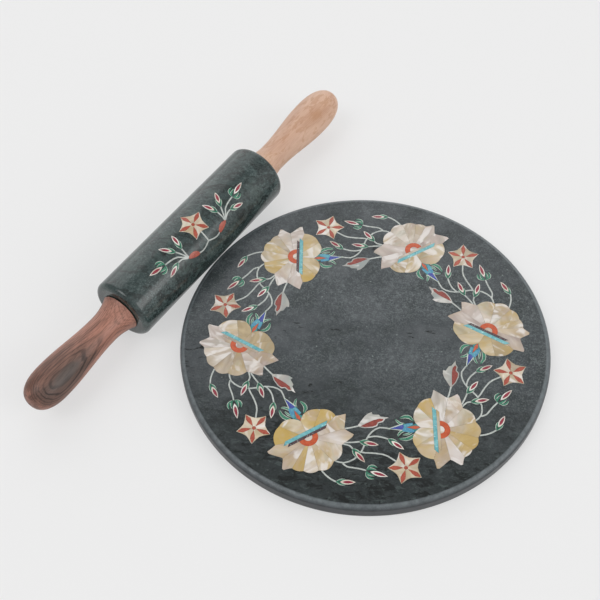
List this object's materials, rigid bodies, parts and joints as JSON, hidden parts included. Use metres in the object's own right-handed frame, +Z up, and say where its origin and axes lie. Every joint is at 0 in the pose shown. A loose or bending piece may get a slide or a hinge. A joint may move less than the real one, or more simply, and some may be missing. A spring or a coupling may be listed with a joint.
{
  "type": "marble rolling board and pin",
  "caption": "Flat round marble board for rolling dough, with stone and shell flower inlay, and a matching marble rolling pin whose barrel turns between turned wooden handles.",
  "frame": {"origin": "centre of the round board's underside", "axes": "+Z up, square to the board; +Y away from the viewer of the reference view, +X to the right; the pin lies behind and to the left of the board"},
  "size_m": [0.3478, 0.3523, 0.0466],
  "materials": {
    "marble": "dark green marble, polished",
    "golden_pearl": "golden shell slice, polished",
    "rose_pearl": "rose white shell slice, polished",
    "cream_pearl": "cream shell slice, polished",
    "white_pearl": "white shell slice, polished",
    "turquoise": "turquoise, polished",
    "abalone": "dark abalone shell, polished",
    "coral": "orange red stone, polished",
    "malachite": "green banded stone, polished",
    "pale_shell": "pale green white shell, polished",
    "sky_stone": "sky blue stone, polished",
    "teal_stone": "blue green stone, polished",
    "lapis": "deep blue stone, polished",
    "jasper": "brick red stone, polished",
    "stem_shell": "grey white shell, polished",
    "garnet_stone": "deep red stone, polished",
    "carnelian": "red brown stone, polished",
    "dark_rosewood": "oiled, turned",
    "pale_rosewood": "oiled, turned",
    "steel": "ground bar",
    "brass": "turned",
    "nylon": "moulded"
  },
  "bodies": {
    "board": {"marble_board": "marble", "back_petals": "golden_pearl", "point_petals": "rose_pearl", "fan_petals": "cream_pearl", "flower_bars": "turquoise", "shell_strips": "abalone", "pearl_strips": "cream_pearl", "half_rings": "coral", "half_pearls": "white_pearl", "calyx_sepals": "malachite", "calyx_edgings": "pale_shell", "calyx_hearts": "sky_stone", "calyx_cups": "teal_stone", "calyx_trumpets": "lapis", "calyx_wedges": "jasper", "board_stems": "stem_shell", "board_bud_frames": "white_pearl", "board_bud_cores": "garnet_stone", "board_bud_sepals": "malachite", "board_bud_edgings": "pale_shell", "star_fields": "cream_pearl", "star_ribs": "jasper", "star_eyes": "jasper", "leaf_shells": "white_pearl", "leaf_hearts": "carnelian"},
    "pin": {"axle_rod": "steel", "near_washer": "brass", "far_washer": "brass", "near_insert": "brass", "far_insert": "brass", "near_handle": "dark_rosewood", "far_handle": "pale_rosewood"},
    "barrel": {"marble_barrel": "marble", "sprig_star_field": "cream_pearl", "sprig_star_ribs": "jasper", "sprig_star_eye": "jasper", "sprig_stems": "stem_shell", "sprig_bud_frames": "white_pearl", "sprig_bud_cores": "garnet_stone", "sprig_bud_sepals": "malachite", "sprig_bud_edgings": "pale_shell", "sprig_leaves": "coral", "near_bush": "nylon", "far_bush": "nylon"}
  },
  "joints": [
    {"name": "pin_lift", "type": "slide", "parent": "board", "child": "pin", "axis": [0, 0, 1], "range_m": [0, 0.2]},
    {"name": "barrel_spin", "type": "hinge", "parent": "pin", "child": "barrel", "pos_m": [-0.12772, 0.07132, 0.0233], "axis": [0.5165, 0.8563, 0], "continuous": true}
  ]
}
